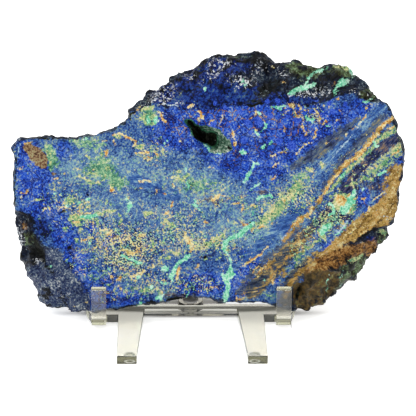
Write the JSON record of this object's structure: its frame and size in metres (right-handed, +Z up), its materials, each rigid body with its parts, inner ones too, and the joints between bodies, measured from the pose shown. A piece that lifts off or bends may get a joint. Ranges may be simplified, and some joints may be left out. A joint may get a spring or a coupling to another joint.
{
  "type": "azurite malachite slab on display stand",
  "caption": "Sawn face of blue azurite and green malachite with a broken rim, leaning in a low clear acrylic stand with two front lips.",
  "frame": {"origin": "on the ground under the middle of the whole object's box", "axes": "+Z up, the slab's sawn face looks towards -Y, +X to the right seen from the front"},
  "size_m": [0.1972, 0.143, 0.1207],
  "materials": {
    "stone": "sawn flat face, broken rim",
    "clear_acrylic": "clear polished sheet",
    "soft_pvc": "clear soft pad"
  },
  "bodies": {
    "root": {"slab": "stone", "stand_base": "clear_acrylic", "back_rest": "clear_acrylic", "screw": "clear_acrylic", "bumper_left": "soft_pvc", "bumper_right": "soft_pvc"}
  },
  "joints": []
}
